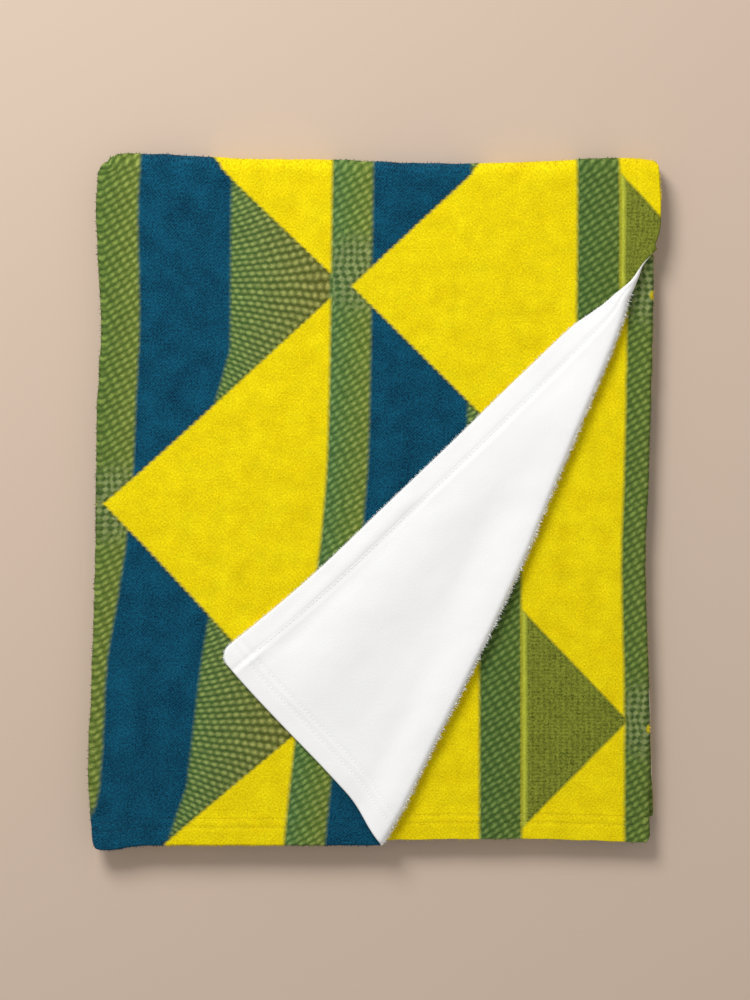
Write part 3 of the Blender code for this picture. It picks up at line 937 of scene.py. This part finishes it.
# Inks laid over each other, from the first to the last
PRINT_LAYERS = (
    # where, ink
    ("in crossing", "speckled"),
    ("teal ground", "teal"),
    ("in yellow column", "yellow"),
    ("in olive", "olive"),
    ("olive rim", "dark"),
    ("olive line", "pale"),
    ("dark rim", "dark"),
    ("in diamond", "yellow"),
    ("in spot", "yellow"),
)


def print_colour(tree):
    """The print's colour at the cloth's own place on the flat sheet."""
    place = add_node(tree, "UVMap", uv_map="print")
    pile = {"Vector": place, "Scale": PILE_SCALE, "Detail": 2.0}
    moved = add_node(tree, "TexNoise", pile, output=1)
    moved = add_node(tree, "VectorMath", {0: moved, 1: (0.5, 0.5, 0.5)}, operation="SUBTRACT")
    moved = add_node(tree, "VectorMath", {0: moved, "Scale": 2 * RAGGED}, operation="SCALE")
    moved = add_node(tree, "VectorMath", {0: place, 1: moved}, operation="ADD")
    across = add_node(tree, "SeparateXYZ", [moved])
    down = across.node.outputs[1]
    ends = [REPEAT_START + REPEAT_ACROSS, REPEAT_START]
    x = add_node(tree, "Math", [across, *ends], operation="WRAP")
    y = add_node(tree, "Math", [down, PRINT_LOW + REPEAT_DOWN, PRINT_LOW], operation="WRAP")
    y = add_node(tree, "Math", [y, PRINT_MIDDLE], operation="SUBTRACT")
    made = {"across": across, "x": x, "y": y, "dark": linear(DARK_INK), "pale": linear(PALE_INK)}
    for name, line in PRINT_LINES:
        inputs = [x, *soft_step(line)]
        made[name] = add_node(tree, "Math", inputs, operation="MULTIPLY_ADD", use_clamp=True)
    for name, scale, detail in PRINT_NOISES:
        inputs = {"Vector": place, "Scale": scale, "Detail": detail}
        made[name] = add_node(tree, "TexNoise", inputs)
    for name, start, *steps in PRINT_SUMS:
        made[name] = made.get(start, start)
        for step, *values in steps:
            operation = step.removeprefix("held ")
            if operation == "SINE":
                turns = [made[name], TURN / values.pop()]
                made[name] = add_node(tree, "Math", turns, operation="MULTIPLY")
            inputs = [made[name], *[made.get(value, value) for value in values]]
            held = step != operation
            made[name] = add_node(tree, "Math", inputs, operation=operation, use_clamp=held)
    for name, shade, darker, lighter in PRINT_INKS:
        inputs = {0: made[shade], 6: linear(darker), 7: linear(lighter)}
        made[name] = add_node(tree, "Mix", inputs, output=2, data_type="RGBA")
    yarns = []
    for column in (1, 2):
        yarns.append(add_node(tree, "ValToRGB", [made["share across"]]))
        elements = yarns[-1].node.color_ramp.elements
        while len(elements) < len(YARNS):
            elements.new(0.5)
        for element, row in zip(elements, YARNS):
            element.position = (row[0] - REPEAT_START) / REPEAT_ACROSS
            element.color = linear(row[column])
    inputs = {0: made["yarn shade"], 6: yarns[0], 7: yarns[1]}
    colour = add_node(tree, "Mix", inputs, output=2, data_type="RGBA")
    for where, ink in PRINT_LAYERS:
        inputs = {0: made[where], 6: colour, 7: made[ink]}
        colour = add_node(tree, "Mix", inputs, output=2, data_type="RGBA")
    return colour, place


def printed_plush(tree):
    """Polyester fleece, sheared and printed: dull and soft, with a short pile that catches light.

    The pile gives a fine grain of lighter and darker specks and a weak sheen at grazing angles.
    """
    colour, place = print_colour(tree)
    # Specks of the pile, about 1.5 mm across, as coarse as they need to show in the render
    specks = add_node(tree, "TexNoise", {"Vector": place, "Scale": 620.0, "Detail": 3.0})
    nap = add_node(tree, "TexNoise", {"Vector": place, "Scale": 70.0, "Detail": 3.0})
    grain = add_node(tree, "Math", [specks, SPECK_CONTRAST, SPECK_MEAN], operation="MULTIPLY_ADD")
    brushed = add_node(tree, "Math", [nap, NAP_CONTRAST, NAP_MEAN], operation="MULTIPLY_ADD")
    value = add_node(tree, "Math", [grain, brushed], operation="MULTIPLY")
    colour = add_node(tree, "HueSaturation", {"Color": colour, "Value": value})
    height = add_node(tree, "Math", [specks, nap], operation="ADD")
    relief = add_node(tree, "Bump", {"Height": height, "Strength": 0.4, "Distance": 0.0009})
    return {"Base Color": colour, "Normal": relief}


def white_plush(tree):
    """The unprinted reverse of the same fleece: white, with a pile that shines white at its rims."""
    place = add_node(tree, "UVMap", uv_map="print")
    specks = add_node(tree, "TexNoise", {"Vector": place, "Scale": 520.0, "Detail": 3.0})
    nap = add_node(tree, "TexNoise", {"Vector": place, "Scale": 60.0, "Detail": 3.0})
    shade = add_node(tree, "Math", [specks, nap], operation="ADD")
    shade = add_node(tree, "Math", [shade, 0.5], operation="MULTIPLY")
    inputs = {0: shade, 6: linear("FCFBF9"), 7: linear("FFFFFF")}
    colour = add_node(tree, "Mix", inputs, output=2, data_type="RGBA")
    relief = add_node(tree, "Bump", {"Height": shade, "Strength": 0.35, "Distance": 0.0010})
    return {"Base Color": colour, "Normal": relief}


def sewing_thread(tree):
    """Spun polyester thread, printed with the cloth that it lies in: a little paler, smoother."""
    colour, place = print_colour(tree)
    twist = add_node(tree, "TexNoise", {"Vector": place, "Scale": 900.0, "Detail": 1.0})
    twist = add_node(tree, "Math", [twist, TWIST_CONTRAST, TWIST_MEAN], operation="MULTIPLY_ADD")
    colour = add_node(tree, "HueSaturation", {"Color": colour, "Value": twist})
    return {"Base Color": colour}


def pale_paint(_tree):
    """Matt paint of the floor, in the colour that the panel gives."""
    return {"Base Color": (*bpy.context.scene.throw_stage.floor_colour, 1.0)}


PRINTED = "printed polyester plush"
WHITE = "white polyester plush"
THREAD = "spun polyester thread"
PAINT = "pale matt paint"
FINISHES = {
    # name: what makes its colour and relief, roughness, gloss, sheen
    PRINTED: (printed_plush, 0.95, 0.1, 0.03),
    WHITE: (white_plush, 0.95, 0.2, 0.80),
    THREAD: (sewing_thread, 0.6, 0.3, 0.0),
    PAINT: (pale_paint, 0.8, 0.2, 0.0),
}


def find_material(name):
    """A material that was made before, or else a new one."""
    if name in bpy.data.materials:
        return bpy.data.materials[name]
    maker, roughness, gloss, sheen = FINISHES[name]
    material = bpy.data.materials.new(name)
    material.use_nodes = True
    tree = material.node_tree
    inputs = maker(tree)
    inputs.update({"Roughness": roughness, "Specular IOR Level": gloss, "Sheen Weight": sheen})
    feed(tree, tree.nodes["Principled BSDF"].inputs, inputs.items())
    return material


def lay_print(bm, places):
    """Give a mesh its map of the print from the print place of each corner."""
    layer = bm.loops.layers.uv.new("print")
    for face in bm.faces:
        for loop in face.loops:
            loop[layer].uv = places[loop.vert.index]


def add_object(bm, name, finishes):
    """Make an object of a finished mesh."""
    mesh = bpy.data.meshes.new(name)
    bm.to_mesh(mesh)
    bm.free()
    for finish in finishes:
        mesh.materials.append(find_material(finish))
    thing = bpy.data.objects.new(name, mesh)
    bpy.context.scene.collection.objects.link(thing)
    return thing


def add_piece(bm, name, finishes):
    """Make a shown piece of a finished mesh, with its faces outwards."""
    bmesh.ops.recalc_face_normals(bm, faces=bm.faces)
    piece = add_object(bm, name, finishes)
    piece.data.shade_smooth()
    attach(piece, BODY)
    return piece


def stack_shift():
    """What is taken from every point of the raw stack to stand it at the origin."""
    return np.array(bpy.context.scene["throw_shift"])


def repeat_shape(bm, count):
    """Copy the one small shape of a mesh until there are this many of it, in order."""
    size = len(bm.verts)
    order = bm.verts.layers.int.new("order")
    for number, vert in enumerate(bm.verts):
        vert[order] = number
    made = 1
    while made < count:
        result = bmesh.ops.duplicate(bm, geom=list(bm.verts) + list(bm.edges) + list(bm.faces))
        for vert in new_items(result, bmesh.types.BMVert):
            vert[order] += made * size
        made *= 2
    extra = [vert for vert in bm.verts if vert[order] >= count * size]
    bmesh.ops.delete(bm, geom=extra, context="VERTS")
    bm.verts.sort(key=lambda vert: vert[order])
    bm.verts.index_update()


def lay_shapes(bm, roots, tips, width, flat_roots, white):
    """Put a copy of a shape from each root to its tip; its own long axis is Z, from -0.5 to 0.5.

    Each is printed like the cloth at its root, or white.
    """
    bmesh.ops.translate(bm, verts=bm.verts, vec=(0, 0, 0.5))
    template = get_points(bm)
    repeat_shape(bm, len(roots))
    run = tips - roots
    length = np.linalg.norm(run, axis=1, keepdims=True)
    flat_side = np.cross(run, np.where(np.abs(run[:, 2:]) > 0.7 * length, (1, 0, 0), (0, 0, 1)))
    flat_side /= np.linalg.norm(flat_side, axis=1, keepdims=True)
    other_side = np.cross(run / length, flat_side)
    axes = np.stack((flat_side * width, other_side * width, run), axis=1)
    points = roots[:, None, :] + np.einsum("kj,njc->nkc", template, axes)
    set_points(bm, points.reshape(-1, 3))
    lay_print(bm, np.repeat(print_places(flat_roots), len(template), axis=0))
    for face in bm.faces:
        face.material_index = int(white[face.verts[0].index // len(template)])


def flat_place(across, down, height):
    """A point of the flat sheet from its distances from the two hems and its height."""
    return np.column_stack((TOP_HEM_X - across, NEAR_HEM_Y + down, height))


def stitch_line(start, end, spacing):
    """Starts of the stitches along a row."""
    return np.arange(start, end - STITCH_LENGTH, spacing)


def hem_stitches(spacing):
    """Both ends of every stitch that shows, on the flat sheet's face or on its reverse."""
    rows = []
    for down in NEAR_HEM_ROWS:
        for start, end in ((FIRST_STITCH, LEFT_TURN_START), (INNER_START, INNER_HEM_END)):
            across = stitch_line(start, end, spacing)
            rows.append((across, np.full_like(across, down), STITCH_LENGTH, 0.0))
    down = stitch_line(NEAR_HEM_ROWS[-1] + HEMS_APART, HALF_FOLD_START, spacing)
    rows.append((np.full_like(down, SIDE_HEM_ROWS[0]), down, 0.0, STITCH_LENGTH))
    starts, ends = [], []
    for across, down, run_across, run_down in rows:
        for reverse in (False, True):
            rise = CLOTH / 2 + hem_relief(across, down, reverse) + STITCH_SINK
            side = -1 if reverse else 1
            start = flat_place(across, down, side * rise)
            end = flat_place(across + run_across, down + run_down, side * rise)
            _share, _start, beyond = beyond_crease(start)
            top = on_top_panel(start)
            if reverse:
                shown = top & (beyond > math.pi * ROLL_RADIUS + FLAP_CLEAR)
            else:
                shown = ~top | (beyond < -PANEL_CLEAR)
            starts.append(start[shown])
            ends.append(end[shown])
    return np.concatenate(starts), np.concatenate(ends)


def tuft_rows(spacing, chance):
    """Roots and outward steps of the tufts on the flat sheet, row by row."""
    direction, across_crease, length = crease_frame()
    rows = []

    def add_row(across, down, height, step):
        root = flat_place(across, down, height)
        rows.append((root, np.broadcast_to(step, root.shape) * EDGE_TUFT))

    # Round the roll of the turned-back corner, on the white side
    run = np.arange(0.0, length * ROLL_END, spacing * ROLL_CROWD)
    share = run / length
    beyond = chance.uniform(*ROLL_PLACES, len(run)) * math.pi * ROLL_RADIUS
    start = along(CREASE, share) - ROLL_RADIUS - CLOTH / 2
    plan = CREASE_START + np.outer(run, direction) + np.outer(start + beyond, across_crease)
    root = np.column_stack((plan, np.full(len(run), -CLOTH / 2)))
    inside = (root[:, 0] < TOP_HEM_X) & (root[:, 1] > NEAR_HEM_Y)
    rows.append((root[inside], np.broadcast_to((0, 0, -ROLL_TUFT), root[inside].shape)))

    # Free hems: the side hem of the top panel, and the near hem of the top and inner panels
    down = np.arange(0.0, HALF_FOLD_START, spacing)
    low = chance.uniform(*EDGE_PLACES, len(down)) * CLOTH
    add_row(np.zeros(len(down)), down, low, (1.0, 0, 0))
    for start, end in ((0.0, LEFT_TURN_START), (INNER_START, INNER_HEM_END)):
        across = np.arange(start, end, spacing)
        low = chance.uniform(*EDGE_PLACES, len(across)) * CLOTH
        add_row(across, np.zeros(len(across)), low, (0, -1.0, 0))

    # Folds at the left, the right and the far side, on the printed side
    for start, end in ((LEFT_TURN_START, BASE_START), (RIGHT_TURN_START, INNER_START)):
        down = np.arange(0.0, HALF_FOLD_START, spacing)
        place = start + (end - start) * chance.uniform(*TURN_PLACES, len(down))
        add_row(place, down, np.full(len(down), CLOTH / 2), (0, 0, 1.0))
    across = np.arange(0.0, LEFT_TURN_START, spacing)
    turn = math.pi * INNER_Z * chance.uniform(*FAR_PLACES, len(across))
    add_row(across, HALF_FOLD_START + turn, np.full(len(across), CLOTH / 2), (0, 0, 1.0))
    return rows


class ThrowSizes(bpy.types.PropertyGroup):
    """Sizes of the throw's small parts."""

    stitch_spacing: bpy.props.FloatProperty(
        name="Stitch spacing", description="From one stitch of a hem to the next",
        default=STITCH_SPACING, min=0.002, max=0.02, subtype="DISTANCE", unit="LENGTH",
    )
    tuft_length: bpy.props.FloatProperty(
        name="Tuft length", description="Length of the pile that stands out along the edges",
        default=TUFT_LENGTH, min=0.0005, max=0.006, subtype="DISTANCE", unit="LENGTH",
    )
    tuft_spacing: bpy.props.FloatProperty(
        name="Tuft spacing", description="Mean distance between the tufts of an edge",
        default=TUFT_SPACING, min=0.0004, max=0.01, subtype="DISTANCE", unit="LENGTH",
    )


class StageLooks(bpy.types.PropertyGroup):
    """Colours and lights of the stage."""

    floor_colour: bpy.props.FloatVectorProperty(
        name="Floor colour", description="Colour of the pale floor", size=3,
        default=linear("D3BDAA")[:3], min=0.0, max=1.0, subtype="COLOR",
    )
    key_power: bpy.props.FloatProperty(
        name="Key light", description="Power of the soft light from the upper left",
        default=69.0, min=0.0, max=500.0, subtype="POWER", unit="POWER",
    )
    fill: bpy.props.FloatProperty(
        name="Fill", description="Strength of the even light from all round",
        default=0.43, min=0.0, max=5.0,
    )


class THROW_OT_cloth(bpy.types.Operator):
    """Fold the printed sheet and turn its corner back"""

    bl_idname = "throw.cloth"
    bl_label = "Fold the cloth"

    def execute(self, context):
        bm = flat_sheet()
        set_points(bm, shape_hems(get_points(bm)))
        cut_along_roll(bm)
        flat = get_points(bm)
        points = fold_cloth(flat)
        shift = centre_of(points)
        context.scene["throw_shift"] = list(shift)
        bm.verts.index_update()
        choose_sides(bm, flat)
        lay_print(bm, print_places(flat))
        set_points(bm, points - shift)
        piece = add_piece(bm, "throw_cloth", (PRINTED, WHITE))
        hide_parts(CAD_NODE)
        return {"FINISHED"}


class THROW_OT_stitches(bpy.types.Operator):
    """Sew the rows of stitches along the hems that show"""

    bl_idname = "throw.stitches"
    bl_label = "Sew the hems"

    def execute(self, context):
        starts, ends = hem_stitches(context.scene.throw_sizes.stitch_spacing)
        roots, tips = fold_cloth(starts) - stack_shift(), fold_cloth(ends) - stack_shift()
        bm = bmesh.new()
        bmesh.ops.create_uvsphere(bm, u_segments=6, v_segments=4, radius=0.5)
        lay_shapes(bm, roots, tips, STITCH_WIDTH, starts, starts[:, 2] < 0)
        add_piece(bm, "hem_stitches", (THREAD, WHITE))
        return {"FINISHED"}


class THROW_OT_tufts(bpy.types.Operator):
    """Raise the tufts of pile that stand out along the folds and the free edges"""

    bl_idname = "throw.tufts"
    bl_label = "Raise the pile"

    def execute(self, context):
        sizes = context.scene.throw_sizes
        chance = np.random.default_rng(SEED)
        rows = tuft_rows(sizes.tuft_spacing, chance)
        roots = np.concatenate([root for root, _step in rows])
        steps = np.concatenate([step for _root, step in rows])
        lengths = sizes.tuft_length * chance.uniform(*TUFT_SHARES, (len(roots), 1))
        reach = np.linalg.norm(steps, axis=1, keepdims=True)
        leaning = steps + chance.uniform(-TUFT_LEAN, TUFT_LEAN, steps.shape) * reach
        tips = roots + leaning * lengths
        for points in (roots, tips):
            points[:, 0], points[:, 1] = rounded(points[:, 0], points[:, 1], *FLAP_CORNER)
        feet, ends = fold_cloth(roots), fold_cloth(tips)
        share, _start, beyond = beyond_crease(roots)
        turned = on_top_panel(roots) & (beyond > 0)
        kept = np.linalg.norm(ends - feet, axis=1) < LONGEST_TUFT
        kept &= ~(turned & (roots[:, 1] < NEAR_HEM_Y + TINY))
        kept &= ~(on_top_panel(roots) & (share > THIN_FROM) & (abs(beyond) < BARE_TIP))
        roots, turned = roots[kept], turned[kept]
        feet, ends = feet[kept] - stack_shift(), ends[kept] - stack_shift()
        bm = bmesh.new()
        bmesh.ops.create_cone(
            bm, cap_ends=True, cap_tris=True, segments=3, radius1=1.0, radius2=0.1, depth=1.0
        )
        lay_shapes(bm, feet, ends, TUFT_RADIUS, roots, turned)
        add_piece(bm, "pile_tufts", (PRINTED, WHITE))
        return {"FINISHED"}


class THROW_OT_stage(bpy.types.Operator):
    """Lay the pale floor and set the lights and the camera"""

    bl_idname = "throw.stage"
    bl_label = "Set the stage"

    def execute(self, context):
        looks = context.scene.throw_stage
        bm = bmesh.new()
        bmesh.ops.create_grid(bm, x_segments=1, y_segments=1, size=FLOOR_SIZE)
        add_object(bm, "floor", (PAINT,))

        key = bpy.data.lights.new("key light", "AREA")
        key.shape = "DISK"
        key.size = KEY_SIZE
        key.energy = looks.key_power
        key_object = bpy.data.objects.new("key light", key)
        aim = (-KEY_PLACE).to_track_quat("-Z", "Y")
        key_object.matrix_world = Matrix.Translation(KEY_PLACE) @ aim.to_matrix().to_4x4()
        context.scene.collection.objects.link(key_object)

        world = context.scene.world or bpy.data.worlds.new("studio")
        context.scene.world = world
        world.use_nodes = True
        background = world.node_tree.nodes["Background"]
        background.inputs["Color"].default_value = FILL_COLOUR
        background.inputs["Strength"].default_value = looks.fill

        lens = bpy.data.cameras.new("camera")
        lens.sensor_fit = "VERTICAL"
        lens.sensor_height = SENSOR_HEIGHT
        lens.lens = SENSOR_HEIGHT * (CAMERA_HEIGHT - VIEW_PLANE_Z) / VIEW_HEIGHT
        camera = bpy.data.objects.new("camera", lens)
        shift = stack_shift()
        camera.location = (CAMERA_X - shift[0], CAMERA_Y - shift[1], CAMERA_HEIGHT)
        context.scene.collection.objects.link(camera)
        context.scene.camera = camera
        context.scene.view_settings.view_transform = "Standard"
        return {"FINISHED"}


class THROW_PT_panel(bpy.types.Panel):
    """Pieces of the throw and its stage"""

    bl_idname = "THROW_PT_panel"
    bl_label = "Folded throw"
    bl_space_type = "VIEW_3D"
    bl_region_type = "UI"
    bl_category = "Throw"

    def draw(self, context):
        layout = self.layout
        for group in (context.scene.throw_sizes, context.scene.throw_stage):
            for name in group.bl_rna.properties.keys():
                if name not in ("rna_type", "name"):
                    layout.prop(group, name)
        for operator in OPERATORS:
            layout.operator(operator.bl_idname)


GROUPS = (ThrowSizes, StageLooks)
OPERATORS = (THROW_OT_cloth, THROW_OT_stitches, THROW_OT_tufts, THROW_OT_stage)


def register():
    """Make the groups, operators and panel known to Blender."""
    for kind in (*GROUPS, *OPERATORS, THROW_PT_panel):
        bpy.utils.register_class(kind)
    bpy.types.Scene.throw_sizes = bpy.props.PointerProperty(type=ThrowSizes)
    bpy.types.Scene.throw_stage = bpy.props.PointerProperty(type=StageLooks)


def unregister():
    """Take them back."""
    del bpy.types.Scene.throw_stage
    del bpy.types.Scene.throw_sizes
    for kind in reversed((*GROUPS, *OPERATORS, THROW_PT_panel)):
        bpy.utils.unregister_class(kind)


def main():
    """Make every piece and the stage."""
    register()
    bpy.ops.throw.cloth()
    bpy.ops.throw.stitches()
    bpy.ops.throw.tufts()
    bpy.ops.throw.stage()


if __name__ == "__main__":
    main()
